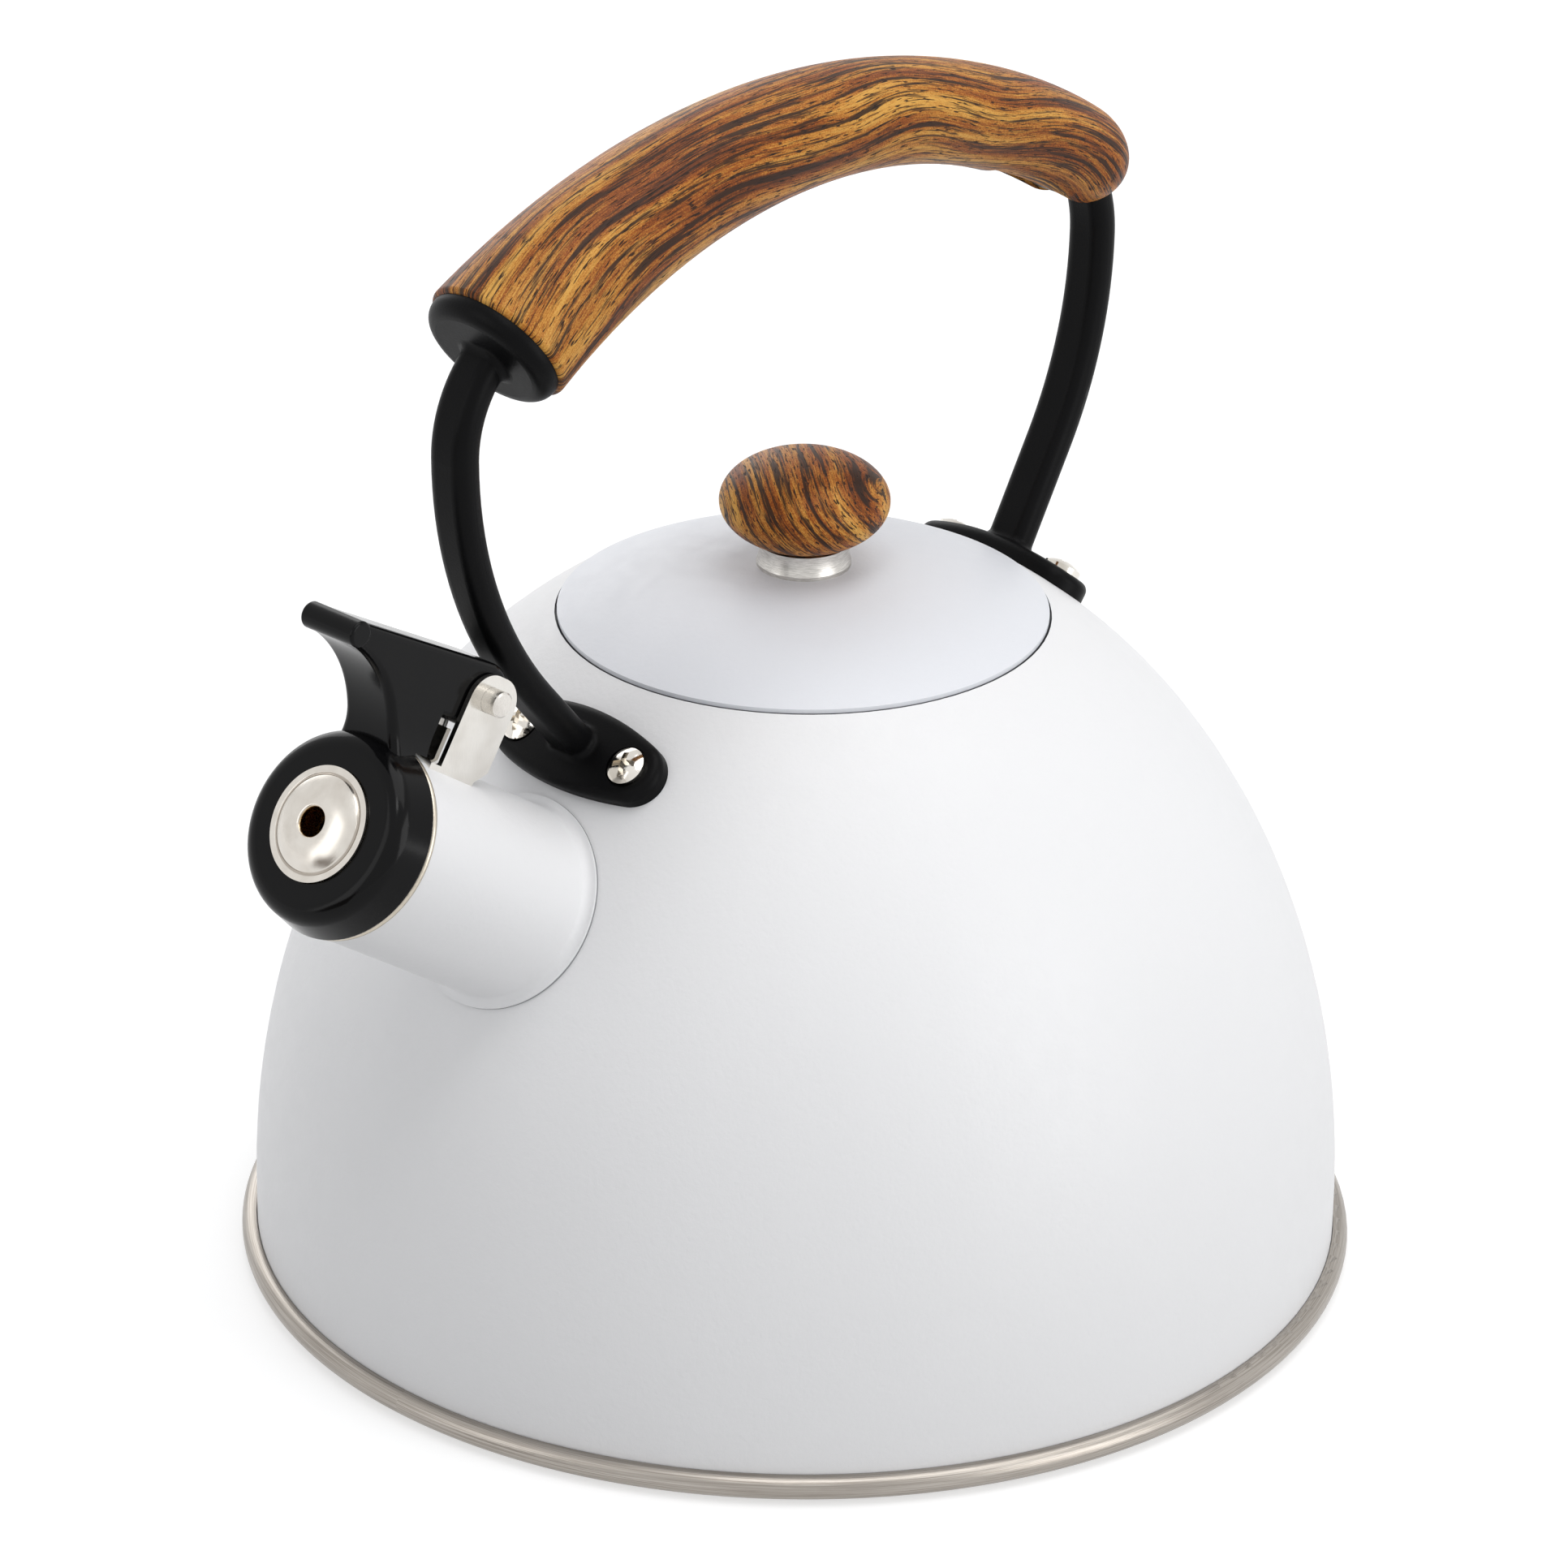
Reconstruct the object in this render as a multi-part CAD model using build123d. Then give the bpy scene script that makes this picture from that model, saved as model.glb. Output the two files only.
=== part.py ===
from build123d import *
import math
import os

# Stovetop whistling kettle in millimetres: Z up, origin on the stove under the middle, spout towards -X

# Dome of the body: a quarter ellipse of revolution on a short straight skirt
BODY_RADIUS = 104.5
SKIRT_HEIGHT = 13.0
DOME_RISE = 131.0
SHEET = 0.8

# Bottom: pan with a rolled bead round the body's flange, aluminium core and steel cover below it
BEAD_THICK = 4.6
BEAD_OUT = 0.7
BEAD_LIFT = 0.6
FLANGE_REACH = 1.1
FLANGE_DROP = 0.6
SEAM_GAP = 0.15
PAN_SHEET = 0.8
PAN_RAISE = 1.2
CORE_RADIUS = 90.0
COVER_SHEET = 0.7
CORE_GAP = 0.1

# Mouth for the lid: a step down to a ledge, with a collar turned down at its inner edge
MOUTH_RADIUS = 46.6
SEAT_DEPTH = 1.1
LEDGE_WIDTH = 4.8
COLLAR_DEPTH = 7.0

# Lid: nearly flat crown out to a share of its radius, rounded shoulder, turned-down rim resting on the ledge
LID_GAP = 0.45
LID_REST = 0.1
LID_EDGE = 1.8
LID_RISE = 9.3
LID_FLAT = 0.65
LID_FLAT_DROP = 3.4
LID_SHEET = 0.9
SKIRT_CLEAR = 0.4
SKIRT_DEPTH = 8.5

# Knob on its collar, with the insert, screw and washer that hold it
KNOB_RADIUS = 16.0
KNOB_HALF_HEIGHT = 9.15
KNOB_SEAT = 8.25
NECK_HEIGHT = 4.2
NECK_TOP_RADIUS = 8.5
NECK_WAIST_RADIUS = 8.52
NECK_FOOT_RADIUS = 8.9
NECK_FOOT_HEIGHT = 0.4
INSERT_RADIUS = 3.4
INSERT_LENGTH = 9.0
INSERT_END = 1.0
KNOB_SCREW_RADIUS = 2.0
KNOB_SCREW_GRIP = 6.5
WASHER_RADIUS = 6.0
WASHER_THICK = 0.8
SCREW_GAP = 0.2
FIT_GAP = 0.05

# Spout: square to the dome where its axis comes out, at a share of the body's radius
SPOUT_SHARE = 0.7617
SPOUT_LENGTH = 45.2
SPOUT_RADIUS = 18.4
SPOUT_WALL = 1.0
ROOT_FLARE = 1.9
ROOT_THICK = 0.7
ROOT_ROUND = 1.7
LIP_OUT = 0.5
LIP_LENGTH = 1.3

# Hinge on the spout: pin place behind the mouth and above the tube, bracket of bent sheet
PIN_BACK = 11.8
PIN_UP = 13.7
PIN_RADIUS = 2.4
PIN_STICKOUT = 3.3
PIN_RUN = 0.05
PIN_CHAMFER = 0.3
BRACKET_SHEET = 1.0
EAR_BACK = 7.2
EAR_FRONT = 5.2
EAR_TOP = 4.6
EAR_ROUND = 5.2
EAR_CHAMFER = 2.6
EAR_CLEAR = 0.4
BASE_FRONT = 8.0
TAB_PLACE = 4.0
TAB_RISE = 6.2
TAB_HALF_WIDTH = 5.2

# Whistle lever: hinge knuckle, arm with thumb tab, neck and cap in one moulding
LEVER_WIDTH = 12.4
KNUCKLE_RADIUS = 6.3
TAB_REACH = 27.6
TAB_DROP = 2.8
TAB_THICK = 4.6
TAB_NOSE = 2.2
BAR_WIDTH = 13.2
BAR_PROUD = 0.15
NECK_FRONT = 5.6
NECK_BACK = 3.0
NECK_FOOT_WIDTH = 15.4
NECK_FLARE = 6.5
BAR_ROUND = 0.6
TUBE_CLEAR = 0.6
LEVER_ROUND = 1.5
FLANK_ROOM = 0.8
CAP_GAP = 0.2
CAP_RADIUS = 19.2
CAP_FRONT_RADIUS = 17.3
CAP_LENGTH = 8.2
CAP_ROUND = 3.6
CAP_BACK_ROUND = 0.5
CAP_HOLLOW_RADIUS = 13.0
CAP_FRONT_WALL = 4.6
PLUG_RADIUS = 15.0
PLUG_DEPTH = 2.4
POCKET_HALF_WIDTH = 3.6
POCKET_RADIUS = 5.0

# Whistle: a domed disc in front of a cupped plate, each with a hole
DISC_RADIUS = 10.7
DISC_SHEET = 0.6
DISC_FLAT = 1.5
DISC_RISE = 2.4
WHISTLE_HOLE = 2.7
PLATE_CUP_RADIUS = 8.0
PLATE_CUP_DEPTH = 2.6
PLATE_HOLE = 2.0
WHISTLE_GAP = 0.1

# Return spring: coil on the pin, one leg behind the bracket's tab and one in the lever
WIRE = 0.8
COIL_RADIUS = 3.4
COIL_WIDTH = 5.0
COIL_QUARTERS = 15
BRACKET_LEG = 11.2
LEVER_LEG = 9.0
LEG_ROOM = 0.35

# Handle feet: ovals that follow the dome at shares of the body's radius, screwed to strips welded on it
FRONT_FOOT_SHARE = 0.5675
REAR_FOOT_SHARE = 0.5407
FOOT_SIDE = 30.5
FOOT_WIDTH = 16.2
FOOT_END_WIDTH = 12.0
FOOT_THICK = 3.4
FOOT_ROUND = 1.9
STRIP_LENGTH = 34.0
STRIP_WIDTH = 8.5
STRIP_THICK = 1.2
STRIP_ROOM = 0.2
SCREW_SPACING = 27.2
SCREW_RADIUS = 2.0
SCREW_HEAD_RADIUS = 3.7
SCREW_HEAD = 2.4
SCREW_SEAT = 1.7
SCREW_LENGTH = 2.3
SCREW_TURN = 20.0
SPOT_ROOM = 0.4

# Handle arms: line from the foot, arc up to the shoulder, then a tighter arc into the grip
ARM_WIDTH = 9.2
ARM_DEPTH = 6.0
ARM_CORNER = 2.7
ARM_SINK = 2.5
ARM_BEND = 80.0
ARM_FILLET = 1.4
FRONT_ARM_UP = 0.5
REAR_ARM_UP = 0.6
FRONT_SHOULDER_OUT = 30.8
FRONT_SHOULDER_UP = 66.6
REAR_SHOULDER_OUT = 23.2
REAR_SHOULDER_UP = 61.8

# Grip: tapered oval along an arc, flat front end and rounded rear end
GRIP_RADIUS = 143.0
GRIP_FRONT_IN = 10.2
GRIP_FRONT_UP = 18.9
GRIP_FRONT_LEAN = 30.9
GRIP_TAPER_END = 20.0
GRIP_TAPER_POWER = 1.5
GRIP_STATIONS = 7
GRIP_REAR_END = 33.2
GRIP_NOSE = 13.0
GRIP_FRONT_HEIGHT = 26.0
GRIP_REAR_HEIGHT = 19.5
GRIP_WIDENESS = 1.16
GRIP_EDGE_ROUND = 1.0
GRIP_GAP = 0.2
PLUG_INSET = 0.8
PLUG_THICK = 3.6
PLUG_ROUND = 3.0
PLUG_FILLET = 1.6
TONGUE_LENGTH = 40.0
TONGUE_WIDTH = 14.0
TONGUE_HEIGHT = 11.0
TONGUE_CORNER = 4.0
REAR_TONGUE_START = 23.0
REAR_TONGUE_TOP = 2.0
REAR_TONGUE_INSET = 1.6
TONGUE_LAP = 2.0
SLOT_REACH = 10.0
GRIP_SCREW_PLACE = 27.0
GRIP_SCREW_LENGTH = 12.0
GRIP_SCREW_ROOM = 1.0
GRIP_SCREW_RADIUS = 1.6
GRIP_SCREW_HEAD_RADIUS = 3.0
GRIP_SCREW_HEAD = 2.0

# Screw heads: height of the upright edge and depth left under the cross as shares of the head's height,
# length and width of the cross as shares of its radius
HEAD_EDGE = 0.5
CROSS_FLOOR = 0.35
CROSS_LENGTH = 1.25
CROSS_WIDTH = 0.3

# Overlength of cutting tools, and of the blocks that are trimmed to the dome
BEYOND = 40.0
DOME_REACH = 10.0

# Points on the spring's path at which its gap to itself is measured
SPRING_SAMPLES = 400

collar_radius = MOUTH_RADIUS - LEDGE_WIDTH
lid_radius = MOUTH_RADIUS - LID_GAP
bead_radius = BEAD_THICK / 2
bead_middle = BEAD_LIFT + bead_radius
flange_low = bead_middle - FLANGE_DROP
pan_floor = bead_middle + PAN_RAISE


def dome_height(radius, grow=0.0):
    """Height of the dome's outside, grown outwards by a distance, at a radius."""
    share = radius / (BODY_RADIUS + grow)
    return SKIRT_HEIGHT + (DOME_RISE + grow) * math.sqrt(1 - share * share)


def dome_lean(radius):
    """Elevation in degrees of the dome's outward normal at a radius."""
    across = radius / BODY_RADIUS**2
    upward = (dome_height(radius) - SKIRT_HEIGHT) / DOME_RISE**2
    return math.degrees(math.atan2(upward, across))


seat = dome_height(MOUTH_RADIUS) - SEAT_DEPTH
lid_rim = seat + LID_REST
lid_edge = lid_rim + LID_EDGE
lid_crown = lid_edge + LID_RISE
neck_top = lid_crown + NECK_HEIGHT
knob_middle = neck_top + KNOB_SEAT


def dome_frame(radius, side):
    """Plane on the dome at a radius: Z along the normal, X uphill. Side is -1 for the front."""
    lean = math.radians(dome_lean(radius))
    uphill = (-side * math.sin(lean), 0, math.cos(lean))
    outward = (side * math.cos(lean), 0, math.sin(lean))
    return Plane((side * radius, 0, dome_height(radius)), x_dir=uphill, z_dir=outward)


def turned(*edges):
    """Solid of revolution about Z from a closed outline of (radius, height) edges."""
    return revolve(Plane.XZ * make_face(edges), Axis.Z)


def turned_points(*points):
    """Solid of revolution about Z from the corners of a straight-sided outline."""
    return turned(Polyline(*points, close=True))


def post(radius, low, high):
    """Upright cylinder between two heights."""
    return Pos(0, 0, low) * extrude(Circle(radius), high - low)


def quarter_ellipse(level, radius, rise):
    """Exact quarter of an ellipse from its widest point at a level to its top, or bottom, on the axis."""
    top = level + rise
    return Bezier((radius, level), (radius, top), (0, top), weights=(1, math.sqrt(0.5), 1))


def filleted_joint(first, second, radius):
    """Two solids in one, with a fillet where their surfaces meet."""
    joined = first + second
    return fillet(new_edges(first, second, combined=joined), radius)


def dome_block(grow=0.0, low=0.0):
    """Filled dome whose outside stands a distance outside the body's."""
    radius = BODY_RADIUS + grow
    rise = DOME_RISE + grow
    top = SKIRT_HEIGHT + rise
    return turned(
        Line((0, low), (radius, low)),
        Line((radius, low), (radius, SKIRT_HEIGHT)),
        quarter_ellipse(SKIRT_HEIGHT, radius, rise),
        Line((0, top), (0, low)),
    )


def lid_block(inset, low):
    """Filled shape under the lid's surface, drawn in by a distance."""
    crown = lid_crown - inset
    edge = lid_edge - inset
    radius = lid_radius - inset
    flat = TangentArc((0, crown), (LID_FLAT * lid_radius, crown - LID_FLAT_DROP), tangent=(1, 0))
    shoulder = TangentArc(flat @ 1, (radius, edge), tangent=flat % 1)
    return turned(
        flat,
        shoulder,
        Line((radius, edge), (radius, low)),
        Line((radius, low), (0, low)),
        Line((0, low), (0, crown)),
    )


spout_frame = dome_frame(SPOUT_SHARE * BODY_RADIUS, -1)
side_frame = Plane(spout_frame.origin, x_dir=spout_frame.z_dir, z_dir=spout_frame.y_dir)
spout_bore = SPOUT_RADIUS - SPOUT_WALL
pin_along = SPOUT_LENGTH - PIN_BACK
pin_height = SPOUT_RADIUS + PIN_UP
cap_back = SPOUT_LENGTH + CAP_GAP
cap_front = cap_back + CAP_LENGTH
ear_inside = LEVER_WIDTH / 2 + EAR_CLEAR
ear_outside = ear_inside + BRACKET_SHEET
neck_foot = (CAP_RADIUS + CAP_HOLLOW_RADIUS) / 2


def along_spout(solid):
    """Puts a solid made upright about Z on the spout's axis."""
    return spout_frame * solid


def across_spout(face, half_width):
    """Slab from an outline of (along the spout, above its axis), centred on the middle plane."""
    return extrude(side_frame * face, half_width, both=True)


def body_shell():
    wall = dome_block(0, flange_low) - dome_block(-SHEET, flange_low)
    wall -= post(MOUTH_RADIUS, seat, seat + BEYOND)
    flange_edge = BODY_RADIUS + FLANGE_REACH
    flange = post(flange_edge, flange_low, flange_low + SHEET) - post(BODY_RADIUS - SHEET, 0, BEYOND)
    ledge = turned_points(
        (collar_radius, seat),
        (MOUTH_RADIUS, seat),
        (MOUTH_RADIUS, dome_height(MOUTH_RADIUS)),
        (MOUTH_RADIUS + SHEET, dome_height(MOUTH_RADIUS + SHEET)),
        (MOUTH_RADIUS + SHEET, seat - SHEET),
        (collar_radius + SHEET, seat - SHEET),
        (collar_radius + SHEET, seat - COLLAR_DEPTH),
        (collar_radius, seat - COLLAR_DEPTH),
    )
    return wall + flange + ledge - along_spout(post(spout_bore, -BEYOND / 2, BEYOND / 2))


def base_pan():
    bead = Pos(BODY_RADIUS + BEAD_OUT, bead_middle) * Circle(bead_radius)
    plate_edge = BODY_RADIUS - SHEET - SEAM_GAP
    plate = Pos(0, pan_floor - PAN_SHEET) * Rectangle(plate_edge, PAN_SHEET, align=(Align.MIN, Align.MIN))
    slot_low = flange_low - SEAM_GAP
    slot_width = SHEET + 2 * SEAM_GAP
    wall_slot = Rectangle(slot_width, BEYOND, align=(Align.MIN, Align.MIN))
    flange_slot = Rectangle(slot_width + FLANGE_REACH, slot_width, align=(Align.MIN, Align.MIN))
    slots = Pos(plate_edge, slot_low) * (wall_slot + flange_slot)
    return revolve(Plane.XZ * (bead + plate - slots), Axis.Z)


def heat_disc():
    return post(CORE_RADIUS, COVER_SHEET, pan_floor - PAN_SHEET)


def base_cap():
    inside = CORE_RADIUS + CORE_GAP
    return post(inside + COVER_SHEET, 0, pan_floor - PAN_SHEET) - post(inside, COVER_SHEET, BEYOND)


def lid_shell():
    shell = lid_block(0, lid_rim) - lid_block(LID_SHEET, lid_rim)
    return shell - post(KNOB_SCREW_RADIUS + SCREW_GAP, lid_rim, lid_crown + BEYOND)


def lid_skirt():
    outside = collar_radius - SKIRT_CLEAR
    low = seat - SKIRT_DEPTH
    ring = post(outside, low, lid_crown) - post(outside - SHEET, low, lid_crown)
    return ring & lid_block(LID_SHEET, low)


def knob_collar():
    low = lid_crown - LID_SHEET
    foot = (NECK_FOOT_RADIUS, lid_crown + NECK_FOOT_HEIGHT)
    waist = (NECK_WAIST_RADIUS, lid_crown + NECK_HEIGHT / 2)
    outside = turned(
        Line((0, low), (NECK_FOOT_RADIUS, low)),
        Line((NECK_FOOT_RADIUS, low), foot),
        ThreePointArc(foot, waist, (NECK_TOP_RADIUS, neck_top)),
        Line((NECK_TOP_RADIUS, neck_top), (0, neck_top)),
        Line((0, neck_top), (0, low)),
    )
    return outside - lid_block(0, lid_rim) - post(KNOB_SCREW_RADIUS + SCREW_GAP, low, neck_top)


def lid_knob():
    top = knob_middle + KNOB_HALF_HEIGHT
    low = knob_middle - KNOB_HALF_HEIGHT
    ball = turned(
        quarter_ellipse(knob_middle, KNOB_RADIUS, KNOB_HALF_HEIGHT),
        quarter_ellipse(knob_middle, KNOB_RADIUS, -KNOB_HALF_HEIGHT),
        Line((0, low), (0, top)),
    )
    seat_cut = post(NECK_TOP_RADIUS + SCREW_GAP, low - BEYOND, neck_top)
    return ball - seat_cut - post(INSERT_RADIUS + FIT_GAP, low, neck_top + INSERT_LENGTH)


def knob_insert():
    return post(INSERT_RADIUS, neck_top, neck_top + INSERT_LENGTH) - post(
        KNOB_SCREW_RADIUS + FIT_GAP, neck_top, neck_top + INSERT_LENGTH - INSERT_END
    )


def knob_washer():
    top = lid_crown - LID_SHEET
    ring = post(WASHER_RADIUS, top - WASHER_THICK, top) & lid_block(LID_SHEET, top - BEYOND)
    return ring - post(KNOB_SCREW_RADIUS + SCREW_GAP, top - BEYOND, top)


def pan_screw(radius, head_radius, head, length):
    """Pan-head screw: head upwards from the seat at Z 0, shank down, cross recess in the head."""
    edge = head * HEAD_EDGE
    dome = turned(
        Line((0, 0), (head_radius, 0)),
        Line((head_radius, 0), (head_radius, edge)),
        TangentArc((0, head), (head_radius, edge), tangent=(1, 0)),
        Line((0, head), (0, 0)),
    )
    slot_face = Rectangle(head_radius * CROSS_LENGTH, head_radius * CROSS_WIDTH)
    slot = Pos(0, 0, head * CROSS_FLOOR) * extrude(slot_face, head)
    return dome + post(radius, -length, 0) - slot - Rot(0, 0, 90) * slot


def knob_screw():
    seat_low = lid_crown - LID_SHEET - WASHER_THICK
    length = neck_top + KNOB_SCREW_GRIP - seat_low
    screw = pan_screw(KNOB_SCREW_RADIUS, SCREW_HEAD_RADIUS, SCREW_HEAD, length)
    return Pos(0, 0, seat_low) * Rot(180, 0, 0) * screw


def spout_tube():
    lip = SPOUT_RADIUS + LIP_OUT
    lip_back = SPOUT_LENGTH - LIP_LENGTH
    tube = turned(
        Line((SPOUT_RADIUS, lip_back), (SPOUT_RADIUS, -DOME_REACH)),
        Line((SPOUT_RADIUS, -DOME_REACH), (0, -DOME_REACH)),
        Line((0, -DOME_REACH), (0, SPOUT_LENGTH)),
        Line((0, SPOUT_LENGTH), (SPOUT_RADIUS, SPOUT_LENGTH)),
        ThreePointArc(
            (SPOUT_RADIUS, SPOUT_LENGTH), (lip, (SPOUT_LENGTH + lip_back) / 2), (SPOUT_RADIUS, lip_back)
        ),
    )
    tube = along_spout(tube)
    flange = along_spout(post(SPOUT_RADIUS + ROOT_FLARE, -DOME_REACH, DOME_REACH)) & dome_block(ROOT_THICK)
    outside = filleted_joint(tube, flange, ROOT_ROUND)
    return outside - dome_block() - along_spout(post(spout_bore, -DOME_REACH, SPOUT_LENGTH))


def hinge_bracket():
    back = pin_along - EAR_BACK
    front = pin_along + EAR_FRONT
    top = pin_height + EAR_TOP
    blank = Pos(back, 0) * Rectangle(front - back, top, align=(Align.MIN, Align.MIN))
    blank = fillet(blank.vertices().group_by(Axis.Y)[-1], EAR_ROUND)
    foot = SPOUT_RADIUS - 2 * BRACKET_SHEET
    cut = EAR_CHAMFER + BRACKET_SHEET
    corner = make_face(Polyline((back, foot), (back + cut, foot), (back, foot + cut), close=True))
    ears = across_spout(blank - corner, ear_outside) - across_spout(blank, ear_inside)
    base_end = pin_along + BASE_FRONT
    saddle = post(SPOUT_RADIUS + BRACKET_SHEET, back + EAR_CHAMFER, base_end)
    strip_face = Pos(back, 0) * Rectangle(base_end - back, top, align=(Align.MIN, Align.MIN))
    strip = across_spout(strip_face, ear_outside)
    tab_back = pin_along + TAB_PLACE
    tab_top = SPOUT_RADIUS + TAB_RISE
    tab_face = Pos(tab_back, 0) * Rectangle(BRACKET_SHEET, tab_top, align=(Align.MIN, Align.MIN))
    bracket = ears + (along_spout(saddle) & strip) + across_spout(tab_face, TAB_HALF_WIDTH)
    pin_hole = across_spout(Pos(pin_along, pin_height) * Circle(PIN_RADIUS + FIT_GAP / 2), BEYOND)
    return bracket - along_spout(post(SPOUT_RADIUS, 0, SPOUT_LENGTH)) - pin_hole


def hinge_pin():
    half = ear_outside + PIN_STICKOUT
    pin = across_spout(Pos(pin_along, pin_height) * Circle(PIN_RADIUS), half)
    return chamfer(pin.edges().filter_by(GeomType.CIRCLE), PIN_CHAMFER)


def lever_arm():
    """Knuckle, arm, thumb tab and neck as one slab whose neck widens towards the cap."""
    tip = SPOUT_LENGTH + TAB_REACH
    tab_top = pin_height + KNUCKLE_RADIUS - TAB_DROP
    tab_low = tab_top - TAB_THICK
    neck_back = SPOUT_LENGTH - NECK_BACK
    under = pin_height - KNUCKLE_RADIUS
    over = pin_height + KNUCKLE_RADIUS
    top = Line((pin_along, over), (tip - TAB_NOSE, tab_top))
    nose = TangentArc(top @ 1, (tip - TAB_NOSE, tab_low), tangent=top % 1)
    front = TangentArc(nose @ 1, (SPOUT_LENGTH + NECK_FRONT, neck_foot), tangent=nose % 1)
    outline = make_face(
        [
            top,
            nose,
            front,
            Line(front @ 1, (neck_back, neck_foot)),
            Line((neck_back, neck_foot), (neck_back, under)),
            Line((neck_back, under), (pin_along, under)),
            ThreePointArc((pin_along, under), (pin_along - KNUCKLE_RADIUS, pin_height), (pin_along, over)),
        ]
    )
    slab = across_spout(outline, NECK_FOOT_WIDTH / 2) & along_spout(extrude(lever_front_view(over), tip))
    slab = fillet(slab.edges().filter_by(is_flank_edge), LEVER_ROUND)
    bar_face = Pos(tip - TAB_THICK / 2, (tab_top + tab_low) / 2) * Circle(TAB_THICK / 2 + BAR_PROUD)
    bar = across_spout(bar_face, BAR_WIDTH / 2)
    bar = fillet(bar.edges().filter_by(GeomType.CIRCLE), BAR_ROUND)
    over_tube = post(SPOUT_RADIUS + LIP_OUT + TUBE_CLEAR, 0, cap_back)
    return slab + bar - along_spout(over_tube)


def lever_front_view(over):
    """Outline of the lever seen from the front, as (above the axis, across)."""
    half = LEVER_WIDTH / 2
    wide = NECK_FOOT_WIDTH / 2
    flare_top = neck_foot + NECK_FLARE
    return make_face(
        [
            Line((over, -half), (over, half)),
            Line((over, half), (flare_top, half)),
            TangentArc((flare_top, half), (neck_foot, wide), tangent=(-1, 0)),
            Line((neck_foot, wide), (neck_foot, -wide)),
            TangentArc((flare_top, -half), (neck_foot, -wide), tangent=(-1, 0)),
            Line((flare_top, -half), (over, -half)),
        ]
    )


def is_flank_edge(edge):
    """True for the lever's long side edges in front of and above the hinge."""
    ends = [side_frame.to_local_coords(edge @ end) for end in (0, 0.5, 1)]
    on_flank = all(abs(p.Z) > LEVER_WIDTH / 2 - FLANK_ROOM for p in ends)
    return on_flank and all(p.X > SPOUT_LENGTH or p.Y > pin_height for p in ends)


def whistle_cap():
    """Round cap over the mouth, with a plug that enters it and a seat for the whistle."""
    recess = cap_front - DISC_SHEET
    hollow_end = cap_front - CAP_FRONT_WALL
    plug_end = cap_back - PLUG_DEPTH
    outside = turned_points(
        (0, cap_back), (CAP_RADIUS, cap_back), (CAP_FRONT_RADIUS, cap_front), (0, cap_front)
    )
    outside = fillet(outside.edges().group_by(Axis.Z)[-1], CAP_ROUND)
    outside = fillet(outside.edges().group_by(Axis.Z)[0], CAP_BACK_ROUND)
    plug = post(PLUG_RADIUS, plug_end, cap_back)
    hollow = post(CAP_HOLLOW_RADIUS, plug_end, hollow_end)
    seat_cut = post(DISC_RADIUS + WHISTLE_GAP, recess, cap_front + BEYOND)
    throat = post(PLATE_CUP_RADIUS + WHISTLE_GAP, hollow_end, recess)
    return along_spout(outside + plug - hollow - seat_cut - throat)


def coil_point(quarter):
    """Point and direction of the coil after a number of quarter turns, in the spout's side frame."""
    angle = quarter * math.pi / 2
    climb = COIL_WIDTH / COIL_QUARTERS
    step = COIL_RADIUS * math.pi / 2
    at = Vector(
        pin_along + COIL_RADIUS * math.cos(angle),
        pin_height + COIL_RADIUS * math.sin(angle),
        -COIL_WIDTH / 2 + climb * quarter,
    )
    way = Vector(-step * math.sin(angle), step * math.cos(angle), climb).normalized()
    return at, way


def biarc(start, start_way, end, end_way):
    """Two arcs that join smoothly and leave and meet two points along given directions."""
    span = end - start
    ways = start_way + end_way
    a = 2 * (1 - start_way.dot(end_way))
    b = 2 * span.dot(ways)
    c = -span.dot(span)
    reach = (-b + math.sqrt(b * b - 4 * a * c)) / (2 * a)
    middle = (start + start_way * reach + end - end_way * reach) * 0.5
    first = Edge.make_tangent_arc(start, start_way, middle)
    second = Edge.make_tangent_arc(middle, first % 1, end)
    return [first, second]


def spring_path():
    """Bracket leg, coil of quarter-turn biarcs and lever leg, end to end."""
    start, start_way = coil_point(0)
    end, end_way = coil_point(COIL_QUARTERS)
    edges = [Edge.make_line(start - start_way * BRACKET_LEG, start)]
    for quarter in range(COIL_QUARTERS):
        edges += biarc(*coil_point(quarter), *coil_point(quarter + 1))
    edges.append(Edge.make_line(end, end + end_way * LEVER_LEG))
    return Wire(edges)


def spring_gap(path):
    """Least gap of the spring's wire to itself, measured on points along its path."""
    half_turn = math.pi * COIL_RADIUS
    points = [path @ (k / SPRING_SAMPLES) for k in range(SPRING_SAMPLES + 1)]
    apart = int(half_turn / path.length * SPRING_SAMPLES)
    least = path.length
    for i, first in enumerate(points):
        for second in points[i + apart :]:
            least = min(least, (second - first).length)
    return least - WIRE


def return_spring():
    path = spring_path()
    print(f"return spring: least gap to itself {spring_gap(path):.2f} mm")
    section = Plane(path @ 0, z_dir=path % 0) * Circle(WIRE / 2)
    return side_frame * sweep(section, path=path)


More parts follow.
